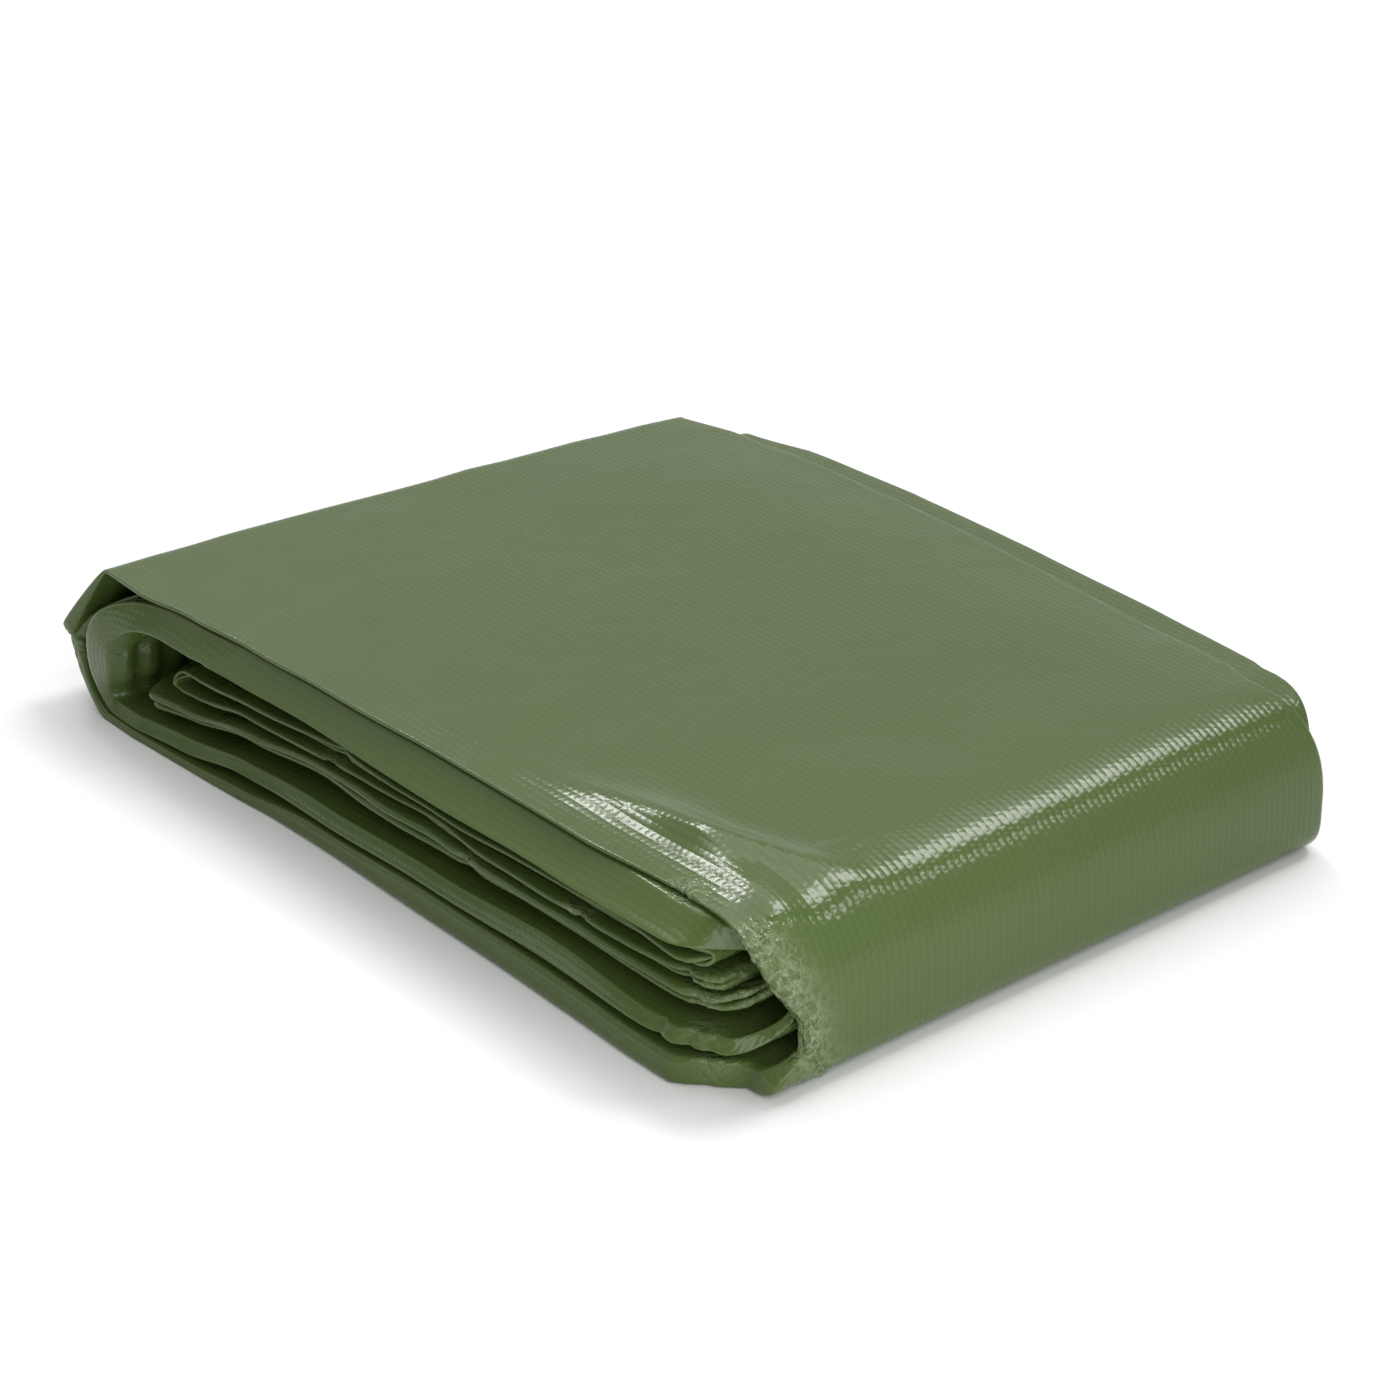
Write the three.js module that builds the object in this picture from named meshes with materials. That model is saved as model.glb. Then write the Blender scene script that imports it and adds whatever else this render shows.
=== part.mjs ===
// A coated woven tarpaulin, folded lengthwise into a strip of many plies and then folded end over
// end into a flat packet. The packet is one strip that runs back and forth and rolls in on itself.
// Units are millimetres, +Z is up, and the packet lies on the plane z = 0.
// +X is the smooth end where the strip turns in one wrap, and -Y is the side with the fold edges.
import * as THREE from "three";

const OLIVE = 0x6b7955;
// Share of the strip's thickness that is rounded off into its front and back fold edges
const NOSE_SHARE = 0.55;
const NOSE_MOST = 5;
// Steps along the strip: spacing on the flat runs, and steps in each quarter of a turn
const RUN_STEP = 16;
const QUARTER_STEPS = 5;
// The packet's box is centred on the origin by moving it this far
const CENTRE_SHIFT = new THREE.Vector3(9.8, -1.7, 0);

// Heights are given at seven sections across the length of the packet
const SECTIONS = [-170, -135, -95, -45, 30, 100, 160];

// The runs of the strip in the order in which it passes through them, starting at its loose end on
// top: the height of the underside and of the upper side at each section, how far the front and
// back fold edges stand in from the packet's outline, and how far the upper edge leans back.
const RUNS = {
  topSkin: {
    low: [59.8, 60.1, 60.4, 60.9, 60.9, 61.5, 62.4],
    high: [62.4, 62.6, 62.8, 63.2, 63.2, 63.7, 64.4],
    front: 20,
    back: 6,
    lean: 2,
  },
  bottomSkin: {
    low: [0, 0, 0, 0, 0, 0, 0],
    high: [3, 3, 4.5, 8, 11, 11.5, 11],
    front: -2,
    back: 0,
    lean: 1,
  },
  tuckedSkin: {
    low: [57.8, 58.3, 58.8, 59.2, 59.2, 59.7, 60.8],
    high: [59.1, 59.5, 59.8, 60.3, 60.3, 60.8, 61.7],
    front: 27,
    back: 3,
    lean: 0,
  },
  lowerBand: {
    low: [3.4, 4.5, 9.5, 10.5, 13, 14.5, 15],
    high: [9.5, 10.5, 14.5, 17, 19.5, 23, 20.5],
    front: 0,
    back: 2,
    lean: 2,
  },
  upperBand: {
    low: [46.5, 47.8, 49.2, 50.4, 50.4, 52, 54.8],
    high: [55, 57.2, 58.2, 58.8, 58.8, 59.3, 59.9],
    front: 0,
    back: 0,
    lean: 16,
  },
  greatFold: {
    low: [12, 15.5, 21, 24, 24, 27, 27],
    high: [18, 22, 28, 32, 32.5, 35, 34],
    front: 3,
    back: 3,
    lean: 2,
  },
  thinPlies: {
    low: [38, 42, 44.5, 46, 46.2, 48.7, 51.4],
    high: [41, 45, 47.6, 49.2, 49.4, 51.4, 54],
    front: 4,
    back: 1,
    lean: 0,
  },
  middleFold: {
    low: [29, 32, 36, 39.3, 39.6, 42.5, 43.8],
    high: [32, 36, 40.5, 43.6, 43.8, 47.2, 49.2],
    front: 3,
    back: 4,
    lean: 1,
  },
  doublePly: {
    low: [21, 24.5, 30.5, 34, 34, 36.5, 36],
    high: [24, 28, 34, 38.2, 38.2, 41.3, 42],
    front: 2,
    back: 2,
    lean: 1,
  },
};

// The turns between those runs: where each leaves its run and joins the next, how far it reaches,
// and, at that furthest point, the height, the thickness and y of the front and back fold edges.
// A higher square bends it more sharply at its corners.
const TURNS = [
  { leaves: 168, reach: 201, belly: 19, joins: 188, thick: 4.5, square: 2.7, front: -119, back: 139 },
  { leaves: -186, reach: -216, belly: 14, joins: -170, thick: 4.4, square: 2.6, front: -155, back: 112 },
  { leaves: 160, reach: 194, belly: 32, joins: 180, thick: 3, square: 2.8, front: -117, back: 138 },
  { leaves: -170, reach: -200.5, belly: 25, joins: -142, thick: 14.4, square: 2, front: -157, back: 122 },
  { leaves: 162, reach: 187, belly: 42, joins: 174, thick: 2.6, square: 2.4, front: -117, back: 138 },
  { leaves: -152, reach: -171, belly: 32, joins: -135, thick: 6.5, square: 2.2, front: -152, back: 140 },
  { leaves: 169, reach: 176, belly: 49.5, joins: 169, thick: 1.6, square: 2, front: -138, back: 141 },
  { leaves: -140, reach: -146, belly: 30, joins: -140, thick: 2.2, square: 2, front: -149, back: 145 },
];
// The loose end hangs over the left end of the packet as half a turn, and stops in a point
const LOOSE_END = { reach: -221, belly: 26, joins: -170, thick: 3.4, square: 3, front: -156, back: 110 };
// It stops short of its furthest point by this share of a step
const END_CUT = 0.4;
// The inner end of the strip stops inside the turns at the right
const INNER_END = 179;

// The packet's outline: y of its front and back edges at each x, at the floor and at the top
const FRONT_EDGE = [
  { x: -200, floor: -158, top: -149 },
  { x: -165, floor: -158, top: -150 },
  { x: -124, floor: -154, top: -150 },
  { x: -74, floor: -150, top: -150 },
  { x: 145, floor: -150, top: -150 },
  { x: 168, floor: -149, top: -150 },
  { x: 177, floor: -143.5, top: -147 },
  { x: 190, floor: -128, top: -138 },
];
const BACK_EDGE = [
  { x: -194, floor: 141, top: 147 },
  { x: -170, floor: 150, top: 154 },
  { x: -121, floor: 158, top: 161 },
  { x: -50, floor: 160, top: 163 },
  { x: 20, floor: 159, top: 161.5 },
  { x: 96, floor: 156, top: 157 },
  { x: 154, floor: 149, top: 151 },
  { x: 190, floor: 142, top: 139.5 },
];
const TOP = 62;

// How the heights grow and shrink from corner to corner, and how far the stack sinks at its edges
const HEIGHT_SHARE = { leftFront: 1, rightFront: 1, leftBack: 1, rightBack: 0.98 };
const EDGE_SINK = 0.025;
const EDGE_SINK_WIDTH = 45;
// The left end runs askew: it stands in by this much for each millimetre towards the back
const SKEW = 0.075;
const SKEW_FROM = -95;
const SKEW_TO = -170;
const HALF_LENGTH = 210;
const HALF_WIDTH = 150;
// How far from its two fold edges each ring has its next points
const FRONT_MARGIN = 27;
const BACK_MARGIN = 20;
// Angles of the points round a fold edge, and the one at its tip
const NOSE_ANGLES = [90, 42, 0, -42, -90];
const FRONT_TIP = 2;

function smooth(share) {
  const s = Math.min(1, Math.max(0, share));
  return s * s * (3 - 2 * s);
}

function mix(a, b, share) {
  return a + (b - a) * share;
}

// A height at x, eased between the two sections on either side, so runs that are apart at every
// section stay apart between them.
function atSection(values, x) {
  const next = SECTIONS.findIndex((s) => s > x);
  if (next === 0) return values[0];
  if (next < 0) return values[values.length - 1];
  const share = (x - SECTIONS[next - 1]) / (SECTIONS[next] - SECTIONS[next - 1]);
  return mix(values[next - 1], values[next], smooth(share));
}

function outline(edge, x, z) {
  const next = edge.findIndex((p) => p.x > x);
  const a = edge[next > 0 ? next - 1 : 0];
  const b = edge[next < 0 ? edge.length - 1 : next];
  const start = next < 0 ? b : a;
  const share = b === start ? 0 : smooth((x - start.x) / (b.x - start.x));
  return mix(mix(start.floor, start.top, z / TOP), mix(b.floor, b.top, z / TOP), share);
}

function runAt(run, x, way) {
  const low = atSection(run.low, x);
  const high = atSection(run.high, x);
  const z = (low + high) / 2;
  return {
    x,
    z,
    normal: [0, way],
    thick: high - low,
    front: outline(FRONT_EDGE, x, z) + run.front,
    back: outline(BACK_EDGE, x, z) - run.back,
    lean: run.lean,
  };
}

// One quarter of a turn, between a point on a run and the point where the turn reaches furthest.
// The share goes from 0 on the run to 1 at the furthest point.
function quarter(run, x, turn, way, share) {
  const start = runAt(run, x, way);
  const angle = (share * Math.PI) / 2;
  const out = Math.sin(angle) ** (2 / turn.square);
  const up = Math.cos(angle) ** (2 / turn.square);
  const width = turn.reach - x;
  const height = start.z - turn.belly;
  const nx = out ** (turn.square - 1) / width;
  const nz = up ** (turn.square - 1) / height;
  const size = Math.hypot(nx, nz);
  const facing = Math.sign(height) * way;
  const eased = smooth(share);
  return {
    x: x + width * out,
    z: turn.belly + height * up,
    normal: [(facing * nx) / size, (facing * nz) / size],
    thick: mix(start.thick, turn.thick, eased),
    front: mix(start.front, turn.front, eased),
    back: mix(start.back, turn.back, eased),
    lean: start.lean * (1 - eased),
  };
}

// The middle line of the strip from its loose end to its inner end
function strip() {
  const runs = Object.values(RUNS);
  const stations = [];
  const steps = [...Array(QUARTER_STEPS).keys()];
  for (const k of steps) {
    const share = 1 - (k + END_CUT) / (QUARTER_STEPS + END_CUT);
    stations.push(quarter(runs[0], LOOSE_END.joins, LOOSE_END, 1, share));
  }
  runs.forEach((run, i) => {
    const way = i % 2 === 0 ? 1 : -1;
    const start = i === 0 ? LOOSE_END.joins : TURNS[i - 1].joins;
    const last = i === runs.length - 1;
    const end = last ? INNER_END : TURNS[i].leaves;
    const count = Math.round(Math.abs(end - start) / RUN_STEP);
    for (let k = 0; k <= count; k += 1) {
      stations.push(runAt(run, mix(start, end, k / count), way));
    }
    if (last) return;
    for (const k of steps) {
      stations.push(quarter(run, end, TURNS[i], way, (k + 1) / QUARTER_STEPS));
    }
    for (const k of steps.slice(1)) {
      stations.push(quarter(runs[i + 1], TURNS[i].joins, TURNS[i], -way, 1 - k / QUARTER_STEPS));
    }
  });
  return stations;
}

// Points round the strip at one station, each as its y and its side, from 1 on the normal's side
// to -1 on the other
function ring(station) {
  const depth = Math.min(NOSE_MOST, station.thick * NOSE_SHARE);
  const points = [];
  const angles = NOSE_ANGLES.map((a) => THREE.MathUtils.degToRad(a));
  for (const a of angles) {
    points.push({ y: station.front + depth * (1 - Math.cos(a)), side: Math.sin(a), edge: 1 });
  }
  const near = station.front + FRONT_MARGIN;
  const far = station.back - BACK_MARGIN;
  const middles = [near, (near + far) / 2, far];
  for (const y of middles) {
    points.push({ y, side: -1, edge: 0 });
  }
  for (const a of [...angles].reverse()) {
    points.push({ y: station.back - depth * (1 - Math.cos(a)), side: Math.sin(a), edge: 0 });
  }
  for (const y of [...middles].reverse()) {
    points.push({ y, side: 1, edge: 0 });
  }
  return points.map((p) => {
    const upper = 0.5 + 0.5 * p.side * station.normal[1];
    return new THREE.Vector3(
      station.x + (station.normal[0] * p.side * station.thick) / 2,
      p.y + p.edge * station.lean * upper,
      station.z + (station.normal[1] * p.side * station.thick) / 2,
    );
  });
}

// The uneven shape of the whole packet: one side thicker than the other, edges a little sunk and
// the left end askew. It moves every layer alike, so none is pressed into another.
function settle(point) {
  const u = (point.x + HALF_LENGTH) / (2 * HALF_LENGTH);
  const v = (point.y + HALF_WIDTH) / (2 * HALF_WIDTH);
  const share = HEIGHT_SHARE;
  const front = mix(share.leftFront, share.rightFront, u);
  const back = mix(share.leftBack, share.rightBack, u);
  const inward = HALF_WIDTH - Math.abs(point.y);
  const sink = EDGE_SINK * (1 - smooth(inward / EDGE_SINK_WIDTH));
  const askew = smooth((SKEW_FROM - point.x) / (SKEW_FROM - SKEW_TO));
  point.x += SKEW * (point.y + HALF_WIDTH) * askew;
  point.z *= mix(front, back, v) * (1 - sink);
  return point.add(CENTRE_SHIFT);
}

function packetGeometry() {
  const rings = strip().map((station) => ring(station).map(settle));
  const around = rings[0].length;
  const positions = rings.flat().flatMap((p) => p.toArray());
  const faces = [];
  const quad = (a, b, c, d) => faces.push(a, b, c, a, c, d);
  for (let i = 0; i + 1 < rings.length; i += 1) {
    for (let j = 0; j < around; j += 1) {
      const k = (j + 1) % around;
      quad(i * around + j, i * around + k, (i + 1) * around + k, (i + 1) * around + j);
    }
  }
  // Each end is closed across the strip, from the tip of the front fold edge to that of the back
  const close = (start, first) => {
    for (let j = 0; j < around / 2; j += 1) {
      const [left, right] = [j, j + 1].map((n) => start + ((FRONT_TIP - n + around) % around));
      const [low, high] = [j, j + 1].map((n) => start + ((FRONT_TIP + n) % around));
      if (j > 0) faces.push(...(first ? [left, low, high] : [left, high, low]));
      if (j < around / 2 - 1) faces.push(...(first ? [left, high, right] : [left, right, high]));
    }
  };
  close(0, false);
  close((rings.length - 1) * around, true);
  const geometry = new THREE.BufferGeometry();
  geometry.setAttribute("position", new THREE.Float32BufferAttribute(positions, 3));
  geometry.setIndex(faces);
  geometry.computeVertexNormals();
  return geometry;
}

const cloth = new THREE.MeshStandardMaterial({ color: OLIVE, roughness: 0.42, metalness: 0 });
const packet = new THREE.Mesh(packetGeometry(), cloth);
packet.name = "folded_tarp";

const tarp = new THREE.Group();
tarp.add(packet);

export default tarp;
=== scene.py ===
from collections import namedtuple
from math import cos, exp, hypot, pi, radians, sin

import bmesh
import bpy
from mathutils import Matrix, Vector, noise


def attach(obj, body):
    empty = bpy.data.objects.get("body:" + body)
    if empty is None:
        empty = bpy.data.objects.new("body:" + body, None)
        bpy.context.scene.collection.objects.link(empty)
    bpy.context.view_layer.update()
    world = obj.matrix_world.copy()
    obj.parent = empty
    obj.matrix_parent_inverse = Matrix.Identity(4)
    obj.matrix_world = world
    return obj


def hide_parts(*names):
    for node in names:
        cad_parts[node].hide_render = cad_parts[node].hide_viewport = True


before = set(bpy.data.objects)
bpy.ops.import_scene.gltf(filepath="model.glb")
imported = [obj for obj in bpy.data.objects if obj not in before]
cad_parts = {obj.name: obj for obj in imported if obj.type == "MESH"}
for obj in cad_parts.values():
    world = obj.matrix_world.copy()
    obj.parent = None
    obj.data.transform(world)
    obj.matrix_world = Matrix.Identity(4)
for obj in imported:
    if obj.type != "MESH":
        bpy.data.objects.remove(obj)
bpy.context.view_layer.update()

# The camera stands 1.3 m off the packet's near corner and looks down at it through a long lens,
# as in the photograph.
photo_lens = bpy.data.cameras.new("photo_camera")
photo_lens.lens = 84.86
photo_lens.sensor_width = 36
photo_camera = bpy.data.objects.new("photo_camera", photo_lens)
photo_camera.location = (0.9025, -0.7384, 0.6139)
photo_camera.rotation_euler = (radians(63.25), 0, radians(50.38))
bpy.context.scene.collection.objects.link(photo_camera)
bpy.context.scene.camera = photo_camera

# The tarp is one sheet of coated woven polyethylene, folded lengthwise into a strip of many plies
# and then end over end into a packet. This section follows the middle of the strip, in millimetres,
# from its loose end on top, round the packet and in between the folds. A run is one pass of the strip
# from end to end, and its values are given at the sections' places along x, or once for all of them.
SECTIONS = (-170, -135, -95, -45, 30, 100, 160)
Run = namedtuple("Run", "low high front back lean plies uneven flat", defaults=(2,))
RUNS = {
    "top skin": Run(
        low=(59.8, 60.1, 60.4, 60.9, 60.9, 61.5, 62.4),
        high=(62.4, 62.6, 62.8, 63.2, 63.2, 63.7, 64.4),
        front=(1.5, 5.5, 8, 9.5, 12, 13, 15.5),
        back=(10, 13, 14, 15, 15.5, 17, 15),
        lean=0,
        plies=1,
        uneven=0.5,
        flat=5,
    ),
    "bottom skin": Run(
        low=0,
        high=(3, 3, 4.5, 8, 11, 11.5, 11),
        front=-2,
        back=0,
        lean=1,
        plies=1,
        uneven=0.8,
        flat=4,
    ),
    "tucked skin": Run(
        low=(57.8, 58.3, 58.8, 59.2, 59.2, 59.7, 60.8),
        high=(59.1, 59.5, 59.8, 60.3, 60.3, 60.8, 61.7),
        front=(10, 14, 17, 20, 24, 25, 27),
        back=1,
        lean=0,
        plies=1,
        uneven=0.5,
    ),
    "lower band": Run(
        low=(3.4, 4.5, 9.5, 10.5, 13, 14.5, 15),
        high=(8.6, 10.5, 14.5, 17, 19.5, 23, 20.5),
        front=0,
        back=2,
        lean=3,
        plies=1,
        uneven=1,
        flat=7,
    ),
    "upper band": Run(
        low=(46.5, 47.8, 49.2, 50.4, 50.4, 52, 54.8),
        high=(55, 57.2, 58.2, 58.8, 58.8, 59.3, 59.9),
        front=0,
        back=0,
        lean=(3, 7, 9.5, 11, 13.5, 15, 13.5),
        plies=1,
        uneven=0.6,
        flat=7,
    ),
    "great fold": Run(
        low=(11.5, 15.5, 21, 24, 24, 27, 27),
        high=(21.5, 22, 28, 32, 32.5, 35, 34),
        front=2.5,
        back=3,
        lean=2,
        plies=2,
        uneven=1.8,
    ),
    "thin plies": Run(
        low=(38, 42, 44.5, 46, 46.2, 48.7, 51.4),
        high=(41, 45, 47.6, 49.2, 49.4, 51.4, 54),
        front=4,
        back=1,
        lean=0,
        plies=2,
        uneven=1.2,
    ),
    "middle fold": Run(
        low=(29, 32, 36, 39.3, 39.6, 42.5, 43.8),
        high=(32, 36, 40.5, 43.6, 43.8, 47.2, 49.2),
        front=2.5,
        back=4,
        lean=1,
        plies=2,
        uneven=2,
    ),
    "double ply": Run(
        low=(21, 24.5, 30.5, 34, 34, 36.5, 36),
        high=(24, 28, 34, 38.2, 38.2, 41.3, 42),
        front=2,
        back=2,
        lean=1,
        plies=2,
        uneven=2,
    ),
}

# Each turn leaves one run at x and joins the next. At its furthest point it has a height, a thickness
# and a place for its front and back fold edges. The two squares say how sharply it bends on the side
# that it leaves and on the side that it joins, and the pleat how deep its squeezed inner side folds.
Turn = namedtuple("Turn", "leaves reach belly joins thick leaving joining front back pleat")
LOOSE_END = Turn(-196, -216, 30, -196, 7, 1.05, 1.05, -157, 110, 0)
LOOSE_END_SWELL = 3.4
TURNS = (
    Turn(168, 201, 19, 188, 4.5, 2.7, 2.7, -120, 139, 0),
    Turn(-186, -213, 27, -170, 9.5, 1.5, 1.3, -156, 112, 0),
    Turn(160, 194, 32, 180, 3, 2.8, 2.8, -117, 138, 0),
    Turn(-178, -192, 28, -142, 20, 3, 2.4, -157, 122, 4),
    Turn(162, 187, 42, 174, 2.6, 2.4, 2.4, -117, 138, 0),
    Turn(-158, -174, 30, -128, 3.6, 2.6, 2, -118, 140, 0),
    Turn(169, 176, 49.5, 169, 1.6, 2, 2, -138, 141, 0),
    Turn(-141, -148, 28.5, -141, 2.2, 2.4, 2.4, -149, 145, 0),
)
INNER_END = 179

# The first turn is the packet's smooth right wall. Its front edge stays forward until close to the
# wall's furthest point.
WALL_FRONT = 5

# The fold edges keep to the packet's outline: y at each x, at the floor and at the top
Edge = namedtuple("Edge", "x floor top")
FRONT_EDGE = (
    Edge(-200, -158, -149),
    Edge(-165, -158, -150),
    Edge(-124, -154, -150),
    Edge(-74, -150, -150),
    Edge(145, -150, -150),
    Edge(168, -149, -150),
    Edge(177, -143.5, -147),
    Edge(190, -128, -138),
)
BACK_EDGE = (
    Edge(-194, 141, 147),
    Edge(-170, 150, 154),
    Edge(-121, 158, 161),
    Edge(-50, 160, 163),
    Edge(20, 159, 161.5),
    Edge(96, 156, 157),
    Edge(154, 149, 151),
    Edge(190, 142, 139.5),
)
TOP = 62
FINE_FROM = 110
FINE_STEP = 2.5
COARSE_STEP = 6
TURN_STEPS = 13
END_CUT = 1

# Sharp notches where a fold edge buckled: which run, where along it, how deep and how wide
Notch = namedtuple("Notch", "run x depth width")
NOTCHES = (
    Notch("bottom skin", 177, 3.5, 2.5),
    Notch("lower band", 160, 2, 3),
    Notch("lower band", 172, 3, 2.5),
    Notch("great fold", 170, 3, 3),
    Notch("great fold", 44, 2.5, 3),
    Notch("double ply", 166, 3, 2.5),
    Notch("double ply", 111, 2.5, 3),
    Notch("middle fold", -36, 2.5, 3),
    Notch("middle fold", 172, 2.5, 3),
    Notch("thin plies", 158, 2, 3),
)

# How far the upper band rises under the front edge of the top skin, in front of the tucked skin
UNDER_TOP = (4.4, 2.6, 2.2, 2.1, 2.1, 2.2, 2.4)

# A station is one place along the strip: its middle line's x and z, the way its outer side faces, its
# thickness, its fold edges and how its plies part, pleat and fill there.
Station = namedtuple(
    "Station", "x z nx nz thick front back lean plies uneven flat split pleat fill run"
)


def eased(share):
    share = min(1, max(0, share))
    return share * share * (3 - 2 * share)


def between(a, b, share):
    return a + (b - a) * share


def value_at(values, x):
    if isinstance(values, (int, float)):
        return values
    place = next((i for i, section in enumerate(SECTIONS) if section > x), len(SECTIONS))
    if place in (0, len(SECTIONS)):
        return values[min(place, len(SECTIONS) - 1)]
    share = (x - SECTIONS[place - 1]) / (SECTIONS[place] - SECTIONS[place - 1])
    return between(values[place - 1], values[place], eased(share))


def edge_at(edge, x, z):
    place = next((i for i, point in enumerate(edge) if point.x > x), len(edge))
    a = edge[max(place - 1, 0)]
    b = edge[min(place, len(edge) - 1)]
    share = (x - a.x) / (b.x - a.x) if b.x > a.x else 0
    rise = z / TOP
    return between(between(a.floor, a.top, rise), between(b.floor, b.top, rise), share)


def on_run(number, x):
    name = list(RUNS)[number]
    run = RUNS[name]
    low = value_at(run.low, x)
    high = value_at(run.high, x)
    z = (low + high) / 2
    front = edge_at(FRONT_EDGE, x, z) + value_at(run.front, x)
    for notch in NOTCHES:
        if notch.run == name:
            front += notch.depth * exp(-abs(x - notch.x) / notch.width)
    back = edge_at(BACK_EDGE, x, z) - value_at(run.back, x)
    way = 1 if number % 2 == 0 else -1
    lean = value_at(run.lean, x)
    fill = value_at(UNDER_TOP, x) if name == "upper band" else 0
    return Station(
        x=x,
        z=z,
        nx=0,
        nz=way,
        thick=high - low,
        front=front,
        back=back,
        lean=lean,
        plies=run.plies,
        uneven=run.uneven,
        flat=run.flat,
        split=1,
        pleat=0,
        fill=fill,
        run=number,
    )


def on_turn(number, x, turn, share, square):
    start = on_run(number, x)
    angle = share * pi / 2
    out = sin(angle) ** (2 / square)
    up = cos(angle) ** (2 / square)
    width = turn.reach - x
    height = start.z - turn.belly
    # The way that a squared round faces is the gradient of its curve
    nx = out ** (square - 1) / width
    nz = up ** (square - 1) / height
    facing = start.nz * (1 if height > 0 else -1) / hypot(nx, nz)
    gone = eased(share)
    front_gone = gone**WALL_FRONT if turn is TURNS[0] else gone
    swell = LOOSE_END_SWELL * sin(2 * angle) if turn is LOOSE_END else 0
    return start._replace(
        x=x + width * out,
        z=turn.belly + height * up,
        nx=facing * nx,
        nz=facing * nz,
        thick=between(start.thick, turn.thick, gone * gone) + swell,
        front=between(start.front, turn.front, front_gone),
        back=between(start.back, turn.back, gone),
        lean=start.lean * (1 - gone),
        uneven=between(start.uneven, 1, gone),
        split=1 - gone,
        pleat=turn.pleat * eased(2 * share),
        fill=start.fill * (1 - gone),
    )


def strip_stations():
    stations = []
    last = len(RUNS) - 1
    for k in range(TURN_STEPS):
        share = 1 - (k + END_CUT) / (TURN_STEPS + END_CUT)
        stations.append(on_turn(0, LOOSE_END.joins, LOOSE_END, share, LOOSE_END.joining))
    for number in range(len(RUNS)):
        x = LOOSE_END.joins if number == 0 else TURNS[number - 1].joins
        end = INNER_END if number == last else TURNS[number].leaves
        way = 1 if end > x else -1
        while way * (end - x) > FINE_STEP / 2:
            stations.append(on_run(number, x))
            x += way * (FINE_STEP if abs(x) > FINE_FROM else COARSE_STEP)
        stations.append(on_run(number, end))
        if number == last:
            break
        turn = TURNS[number]
        for k in range(1, TURN_STEPS + 1):
            stations.append(on_turn(number, end, turn, k / TURN_STEPS, turn.leaving))
        for k in range(1, TURN_STEPS):
            share = 1 - k / TURN_STEPS
            stations.append(on_turn(number + 1, turn.joins, turn, share, turn.joining))
    return stations


# Across the strip the cloth goes over the outer side, round the plies' fold edges at the front, back
# along the inner side and round the back edge. A run's flat value squares off its front edge. Plies
# in one run part in a deep slot at the front, and the lower one stands back. The edges stray a little
# along the strip, and each kind of straying reads the noise at a place of its own.
NOSE_SHARE = 0.55
NOSE_MOST = 5
SLOT = 12
PLY_FULLNESS = 0.8
PLY_NOSE = 0.3
STAGGER = 2.4
STAGGER_LENGTH = 38
STAGGER_PLACE = (3.7, 0.5)
RECESS = 3
UNEVEN = 2
UNEVEN_LENGTH = 70
UNEVEN_PLACE = (7.5, 2.5)
PLY_STEPS = 10
BACK_STEPS = 8
OUTER_NEAR = (2, 4.5, 7.5, 11, 15, 19, 23, 27, 31, 35, 39, 43, 48, 54, 62)
OUTER_FAR = (3, 7, 12, 20)
OUTER_STEPS = 11
INNER_NEAR = (2, 4, 6, 8, 10, 12, 14.5, 17, 19.5, 22, 25, 28, 31, 34, 38, 42)
INNER_FAR = (5, 20)
INNER_STEPS = 2
LEAN_REACH = 40
PLEAT_FROM = 6
PLEAT_LENGTH = 12
PLEAT_REACH = 45
PLEAT_SHARPNESS = 0.7
FILL_FROM = 2
FILL_REACH = 7

# The top skin thins to this share under its front edge, where the upper band rises to meet it
EDGE_THIN = 0.1


def spread(near, far, steps, front, back):
    start = front + near[-1]
    end = back - far[-1]
    middle = [between(start, end, k / steps) for k in range(1, steps)]
    return [front + d for d in near] + middle + [back - d for d in reversed(far)]


def squared(value, flat):
    return (1 if value > 0 else -1) * abs(value) ** (2 / flat)


def ply_edge(step, station, along):
    """How far the front fold edges stand back at one step of the way round them, and its side"""
    single = (step / (2 * PLY_STEPS) - 0.5) * pi
    depth = min(NOSE_MOST, station.thick * NOSE_SHARE)
    alone = depth * (1 - squared(cos(single), station.flat))
    if station.plies == 1:
        return alone, squared(sin(single), station.flat)
    ply, turned = divmod(min(step, 2 * PLY_STEPS - 1), PLY_STEPS)
    turned = PLY_STEPS if step == 2 * PLY_STEPS else turned
    middle = ply - 0.5
    nose = min(depth, station.thick * PLY_NOSE)
    angle = (min(max(turned, 2), PLY_STEPS - 2) - PLY_STEPS / 2) * pi / (PLY_STEPS - 4)
    shift = noise.noise(Vector((along / STAGGER_LENGTH, ply * STAGGER_PLACE[0], STAGGER_PLACE[1])))
    behind = RECESS if middle * station.nz < 0 else 0
    apart = nose * (1 - cos(angle)) + STAGGER * (0.5 + shift) + behind
    side = middle + 0.5 * PLY_FULLNESS * sin(angle)
    if turned in (0, PLY_STEPS):
        apart = SLOT
        side = middle + (0.5 if turned else -0.5) * PLY_FULLNESS
    elif turned in (1, PLY_STEPS - 1):
        apart = (SLOT + apart) / 2
    return between(alone, apart, station.split), between(sin(single), side, station.split)


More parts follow.
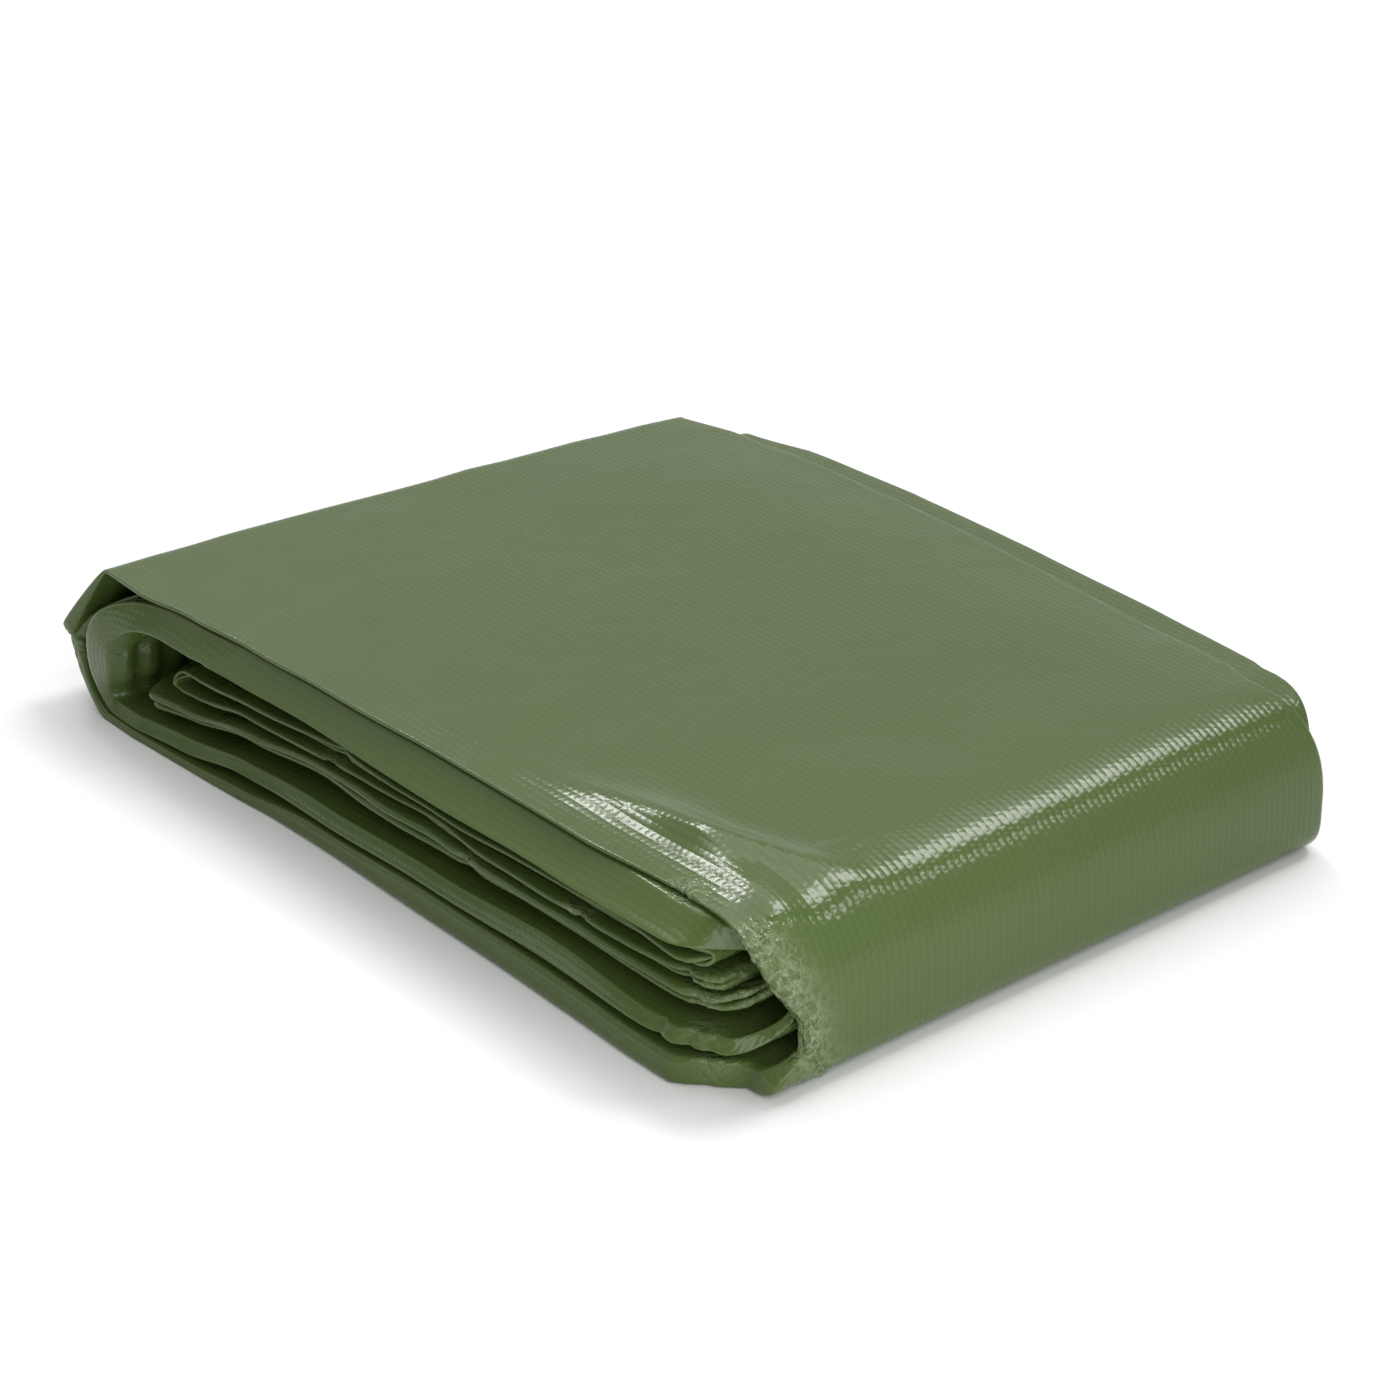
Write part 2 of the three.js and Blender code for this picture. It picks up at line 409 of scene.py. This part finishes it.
def ring(station, along):
    depth = min(NOSE_MOST, station.thick * NOSE_SHARE)
    if station.plies > 1:
        depth = between(depth, SLOT, station.split)
    shift = station.uneven * noise.noise(Vector((along / UNEVEN_LENGTH, *UNEVEN_PLACE)))
    tip = station.front + UNEVEN * shift
    front = tip + depth
    back = station.back - depth
    outer = spread(OUTER_NEAR, OUTER_FAR, OUTER_STEPS, front, back)
    inner = spread(INNER_NEAR, INNER_FAR, INNER_STEPS, front, back)
    points = [(y, 1) for y in reversed(outer)]
    for step in range(2 * PLY_STEPS, -1, -1):
        inset, side = ply_edge(step, station, along)
        points.append((tip + inset, side))
    points += [(y, -1) for y in inner]
    for k in range(BACK_STEPS + 1):
        angle = (k / BACK_STEPS - 0.5) * pi
        points.append((station.back - depth * (1 - cos(angle)), sin(angle)))
    points.append(points[0])
    placed = []
    for y, side in points:
        raised = 0.5 + 0.5 * side * station.nz
        lean = station.lean * raised * (1 - eased((y - front) / LEAN_REACH))
        half = side * station.thick / 2
        inward = y - tip
        if station.pleat and side < 0:
            window = eased(inward / PLEAT_FROM) * (1 - eased((inward - PLEAT_LENGTH) / PLEAT_REACH))
            wave = abs(sin(pi * inward / PLEAT_LENGTH)) ** PLEAT_SHARPNESS
            half -= station.pleat * window * wave
        if station.run == 0 and side < 0:
            edge = 1 - eased((y - front) / FILL_REACH)
            half *= 1 - (1 - EDGE_THIN) * station.split * edge
        if station.fill and side > 0:
            half += station.fill * side * (1 - eased((y - front - FILL_FROM) / FILL_REACH))
        placed.append(Vector((station.x + station.nx * half, y + lean, station.z + station.nz * half)))
    return placed


# The packet has settled unevenly: its edges are a little sunk, one corner is lower and the left end
# runs askew. Every layer is moved alike, so none is pressed into another.
HALF_LENGTH = 210
HALF_WIDTH = 150
RIGHT_BACK = 0.98
EDGE_SINK = 0.025
EDGE_SINK_WIDTH = 45
SKEW = 0.075
SKEW_FROM = -95
SKEW_TO = -170
CENTRE_SHIFT = Vector((9.8, -1.7, 0))


def settled(point):
    across = (point.x + HALF_LENGTH) / (2 * HALF_LENGTH)
    deep = (point.y + HALF_WIDTH) / (2 * HALF_WIDTH)
    corner = between(1, between(1, RIGHT_BACK, across), deep)
    sink = EDGE_SINK * (1 - eased((HALF_WIDTH - abs(point.y)) / EDGE_SINK_WIDTH))
    askew = eased((SKEW_FROM - point.x) / (SKEW_FROM - SKEW_TO))
    return Vector((
        point.x + SKEW * (point.y + HALF_WIDTH) * askew,
        point.y,
        point.z * corner * (1 - sink),
    )) + CENTRE_SHIFT


# Soft ridges and troughs pressed into the top by the folds below it: each runs from one point to
# another and rises, or sinks where negative, by a height over a width.
Crease = namedtuple("Crease", "x y to_x to_y height width")
CREASES = (
    Crease(5, -125, 95, -117, 0.3, 8),
    Crease(112, -113, 160, -102, 2.5, 7),
    Crease(160, -102, 186, -89, 2.0, 6.5),
    Crease(148, -111, 216, -123, 2.9, 8.5),
    Crease(140, -5, 172, 10, -0.8, 9),
    Crease(150, -14, 182, 0, 0.5, 8),
    Crease(-186, 20, -120, 45, 0.6, 6),
    Crease(-186, 48, -115, 72, 0.7, 6),
    Crease(-180, 75, -110, 90, 0.5, 6),
    Crease(-180, -40, -125, -20, 0.5, 7),
    Crease(-150, -112, -60, -114, -0.8, 16),
)
CREASE_FROM = 50
CREASE_ENDS = 4
RIPPLES = ((0.35, 55), (0.15, 21))


def creased(point):
    mask = eased((point.z - CREASE_FROM) / (TOP - CREASE_FROM))
    if mask == 0:
        return point
    rise = 0
    for crease in CREASES:
        run = Vector((crease.to_x - crease.x, crease.to_y - crease.y))
        away = Vector((point.x - crease.x, point.y - crease.y))
        along = away.dot(run) / run.length
        beyond = max(-along, along - run.length, 0)
        across = (away.x * run.y - away.y * run.x) / run.length
        fade = (across / crease.width) ** 2 + (beyond / (CREASE_ENDS * crease.width)) ** 2
        rise += crease.height * exp(-fade)
    for height, length in RIPPLES:
        rise += height * noise.noise(point / length)
    return point + Vector((0, 0, rise * mask))


# Where the plies turn at the ends, the stiff cloth crumples into small sharp folds. Each place has a
# centre, a reach along x, y and z, and a strength. The folds fade out at twice the reach.
Crumple = namedtuple("Crumple", "centre reach strength")
CRUMPLES = (
    Crumple((212, -128, 44), (9, 10, 18), 1.1),
    Crumple((212, -119, 22), (8, 7, 16), 1.1),
    Crumple((209, -115, 6), (8, 8, 10), 0.9),
    Crumple((196, -130, 40), (8, 9, 14), 0.7),
    Crumple((204, -134, 57), (9, 10, 7), 1.0),
    Crumple((188, -140, 8), (6, 7, 8), 0.4),
    Crumple((-209, -156, 15), (9, 12, 12), 1.0),
    Crumple((-163, -148, 17), (6, 8, 6), 0.9),
    Crumple((-172, -145, 37), (5, 6, 5), 0.5),
    Crumple((-112, -150, 45), (8, 6, 2.5), 0.7),
    Crumple((122, -150, 39), (7, 7, 4), 0.7),
    Crumple((56, -150, 28), (7, 8, 4), 0.6),
    Crumple((-28, -150, 37), (7, 8, 4), 0.5),
    Crumple((184, -142, 30), (8, 8, 14), 0.5),
    Crumple((166, -136, 64.5), (6, 6, 3), 1.3),
)
CRUMPLE_FROM = 0.15
CRUMPLE_FAINTEST = 0.0375
CRUMPLE_FAR = 2
CRUMPLE_EDGE = 1.3
CRUMPLE_CUTS = 2
CRUMPLE_FOLDS = ((9, 3.6), (4, 1.8), (2.2, 0.8))
CRUMPLE_STRETCH = Vector((1, 1, 0.4))
CRUMPLE_LEVEL = 0.25
CRUMPLE_PLACE = (31.7, 11.3)


def crumple_at(point):
    total = 0
    for crumple in CRUMPLES:
        offset = sum(
            ((value - middle) / reach) ** 2
            for value, middle, reach in zip(point, crumple.centre, crumple.reach)
        )
        if offset < CRUMPLE_FAR**2:
            total = max(total, crumple.strength * exp(-offset))
    return total


def crumpled(point, normal, strength):
    rise = 0
    for size, height in CRUMPLE_FOLDS:
        shift = Vector((*CRUMPLE_PLACE, size))
        rise += height * (CRUMPLE_LEVEL - abs(noise.noise(point * CRUMPLE_STRETCH / size + shift)))
    return point + rise * strength * normal


# The grid's columns are the stations and its rows go round the strip. Its two long edges are merged,
# which makes a tube, and both ends are closed.
MM = 0.001
stations = strip_stations()
along = [0.0]
for before, station in zip(stations, stations[1:]):
    along.append(along[-1] + hypot(station.x - before.x, station.z - before.z))
rings = [ring(station, s) for station, s in zip(stations, along)]
around = len(rings[0])

cloth = bmesh.new()
bmesh.ops.create_grid(cloth, x_segments=len(rings) - 1, y_segments=around - 1, size=0.5)
crumple_layer = cloth.verts.layers.float.new("crumple")
weave_layer = cloth.loops.layers.uv.new("weave")
cell = {}
for vert in cloth.verts:
    i = round((vert.co.x + 0.5) * (len(rings) - 1))
    j = round((vert.co.y + 0.5) * (around - 1))
    cell[vert] = (i, j)
widths = []
for points in rings:
    width = [-points[0].y]
    for before, point in zip(points, points[1:]):
        width.append(width[-1] + (point - before).length)
    widths.append(width)
for face in cloth.faces:
    for loop in face.loops:
        i, j = cell[loop.vert]
        loop[weave_layer].uv = (widths[i][j] * MM, along[i] * MM)
for vert, (i, j) in cell.items():
    vert.co = creased(settled(rings[i][j]))
bmesh.ops.remove_doubles(cloth, verts=[v for v in cloth.verts if v.is_boundary], dist=1e-4)
bmesh.ops.holes_fill(cloth, edges=[e for e in cloth.edges if e.is_boundary], sides=0)
bmesh.ops.recalc_face_normals(cloth, faces=cloth.faces)
crumply = [
    edge
    for edge in cloth.edges
    if all(crumple_at(vert.co) > CRUMPLE_FROM for vert in edge.verts)
    and edge.calc_length() > CRUMPLE_EDGE
]
bmesh.ops.subdivide_edges(cloth, edges=crumply, cuts=CRUMPLE_CUTS, use_grid_fill=True)
cloth.normal_update()
moved = {}
for vert in cloth.verts:
    strength = crumple_at(vert.co)
    vert[crumple_layer] = min(1, strength)
    if strength > CRUMPLE_FAINTEST:
        moved[vert] = crumpled(vert.co, vert.normal, strength)
for vert, place in moved.items():
    vert.co = place
bmesh.ops.scale(cloth, vec=(MM, MM, MM), verts=cloth.verts)
for face in cloth.faces:
    face.smooth = True
tarp_mesh = bpy.data.meshes.new("tarp")
cloth.to_mesh(tarp_mesh)
cloth.free()
tarp = bpy.data.objects.new("tarp", tarp_mesh)
bpy.context.scene.collection.objects.link(tarp)
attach(tarp, "root")
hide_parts("folded_tarp")


# The cloth is woven from flat tapes, 3.1 mm wide, and coated on both sides with a semi-gloss film.
# The tapes run along the strip and stand out as fine ribs where light grazes them.
class Shade:
    """A socket of the cloth's material. Python's operators on it add Math nodes."""

    def __init__(self, tree, socket):
        self.tree = tree
        self.socket = socket

    def node(self, kind, sockets, output=0, **settings):
        made = self.tree.nodes.new(kind)
        for name, value in settings.items():
            setattr(made, name, value)
        for name, value in sockets.items():
            if isinstance(value, Shade):
                self.tree.links.new(value.socket, made.inputs[name])
            else:
                made.inputs[name].default_value = value
        return Shade(self.tree, made.outputs[output])

    def math(self, operation, *values):
        sockets = dict(enumerate((self, *values)))
        return self.node("ShaderNodeMath", sockets, operation=operation)

    def __add__(self, other):
        return self.math("ADD", other)

    def __mul__(self, other):
        return self.math("MULTIPLY", other)

    def __rsub__(self, other):
        return self.math("MULTIPLY", -1).math("ADD", other)

    __radd__ = __add__
    __rmul__ = __mul__


tarp_finish = bpy.data.materials.new("coated_tape_weave")
tarp_finish.use_nodes = True
tree = tarp_finish.node_tree
coating = tree.nodes["Principled BSDF"]
shade = Shade(tree, None)

TAPE = 3.1 * MM
place = shade.node("ShaderNodeUVMap", {}, uv_map="weave")
across = place.node("ShaderNodeSeparateXYZ", {"Vector": place}, output="X")
lengthwise = place.node("ShaderNodeSeparateXYZ", {"Vector": place}, output="Y")
ribs = (across * (pi / TAPE)).math("SINE").math("ABSOLUTE")
odd = (across * (1 / TAPE)).math("FLOOR").math("MODULO", 2).math("ABSOLUTE")
picks = (lengthwise * (pi / TAPE) + odd * (pi / 2)).math("SINE").math("ABSOLUTE")
weave = ribs * 0.3 + ribs * picks * 0.7

body = shade.node("ShaderNodeTexCoord", {}, output="Object")
dents = shade.node(
    "ShaderNodeTexNoise", {"Vector": body, "Scale": 70, "Detail": 4, "Roughness": 0.55}
)
crumple = shade.node("ShaderNodeAttribute", {}, output="Fac", attribute_name="crumple")
bent = shade.node("ShaderNodeTexNoise", {"Vector": body, "Scale": 240, "Detail": 2}, output="Color")
bent_body = body.node(
    "ShaderNodeVectorMath",
    {0: bent, 1: (7 * MM, 7 * MM, 7 * MM), 2: body},
    operation="MULTIPLY_ADD",
)
crinkle = shade.node(
    "ShaderNodeTexVoronoi",
    {"Vector": bent_body, "Scale": 230},
    output="Distance",
    feature="DISTANCE_TO_EDGE",
)
soft_bump = shade.node(
    "ShaderNodeBump", {"Strength": 0.5, "Distance": 0.6 * MM, "Height": dents}, output="Normal"
)
sharp_bump = shade.node(
    "ShaderNodeBump",
    {"Strength": 1.0, "Distance": 3 * MM, "Height": crinkle * crumple, "Normal": soft_bump},
    output="Normal",
)
weave_bump = shade.node(
    "ShaderNodeBump",
    {"Strength": 1.0, "Distance": 0.075 * MM, "Height": weave, "Normal": sharp_bump},
    output="Normal",
)
tree.links.new(weave_bump.socket, coating.inputs["Normal"])

blotches = shade.node("ShaderNodeTexNoise", {"Vector": body, "Scale": 14, "Detail": 3})
tone = shade.node(
    "ShaderNodeMix",
    {
        "Factor": blotches * 0.4 + weave * 0.6,
        6: (0.060, 0.096, 0.021, 1),
        7: (0.075, 0.118, 0.027, 1),
    },
    output=2,
    data_type="RGBA",
)
# The crumpled places are painted paler, most on the crinkle ridges and a little all over them. This is
# partly the whitening of creased film and partly a painted sheen that stands in for the glints off the
# crinkles.
whitened_creases_and_painted_glints = shade.node(
    "ShaderNodeMix",
    {
        "Factor": crumple * ((1 - crinkle * 5).math("MAXIMUM", 0) * 0.6 + 0.25),
        6: tone,
        7: (0.24, 0.30, 0.16, 1),
    },
    output=2,
    data_type="RGBA",
)
tree.links.new(whitened_creases_and_painted_glints.socket, coating.inputs["Base Color"])
smear = shade.node("ShaderNodeTexNoise", {"Vector": body, "Scale": 45, "Detail": 2})
roughness = smear * 0.12 + 0.13
tree.links.new(roughness.socket, coating.inputs["Roughness"])
coating.inputs["Specular IOR Level"].default_value = 0.36
tarp_mesh.materials.append(tarp_finish)

# The floor is a plain pale sheet of paper, far wider than the view.
floor_mesh = bpy.data.meshes.new("floor")
paper = bmesh.new()
bmesh.ops.create_grid(paper, x_segments=1, y_segments=1, size=6)
paper.to_mesh(floor_mesh)
paper.free()
floor = bpy.data.objects.new("floor", floor_mesh)
floor_finish = bpy.data.materials.new("white_paper")
floor_finish.use_nodes = True
floor_finish.node_tree.nodes["Principled BSDF"].inputs["Base Color"].default_value = (0.88, 0.88, 0.88, 1)
floor_finish.node_tree.nodes["Principled BSDF"].inputs["Roughness"].default_value = 0.9
floor_mesh.materials.append(floor_finish)
bpy.context.scene.collection.objects.link(floor)

# A pale room with a broad soft light overhead, a backdrop on the left and a pale wall on the right.
# A window behind the left end, a lamp behind the packet and a sill beside it glance off its rounded
# edges, and a panel near the right end brightens the close corner.
room = bpy.data.worlds.new("pale_room")
room.use_nodes = True
room.node_tree.nodes["Background"].inputs["Color"].default_value = (1, 1, 1, 1)
room.node_tree.nodes["Background"].inputs["Strength"].default_value = 0.36
bpy.context.scene.world = room
bpy.context.scene.view_settings.view_transform = "Standard"
Light = namedtuple("Light", "name towards spread strength")
LIGHTS = (
    Light("window", (-0.69, 0.26, 0.68), 8, 0.33),
    Light("lamp", (0.0, 0.56, 0.83), 20, 0.95),
    Light("sill", (0.45, 0.57, 0.69), 9, 0.2),
    Light("overhead", (-0.3, 0.3, 0.9), 50, 0.9),
    Light("backdrop", (-0.68, 0.2, 0.55), 110, 0.75),
    Light("side", (0.85, 0.4, 0.25), 70, 0.45),
)
for light in LIGHTS:
    softbox = bpy.data.lights.new(light.name, "SUN")
    softbox.angle = radians(light.spread)
    softbox.energy = light.strength
    lamp = bpy.data.objects.new(light.name, softbox)
    lamp.rotation_euler = Vector(light.towards).to_track_quat("Z", "Y").to_euler()
    bpy.context.scene.collection.objects.link(lamp)
panel = bpy.data.lights.new("panel", "AREA")
panel.size = 0.45
panel.energy = 1.6
lamp = bpy.data.objects.new("panel", panel)
lamp.location = (0.62, -0.3, 0.26)
lamp.rotation_euler = Vector((0.42, -0.2, 0.22)).to_track_quat("Z", "Y").to_euler()
bpy.context.scene.collection.objects.link(lamp)
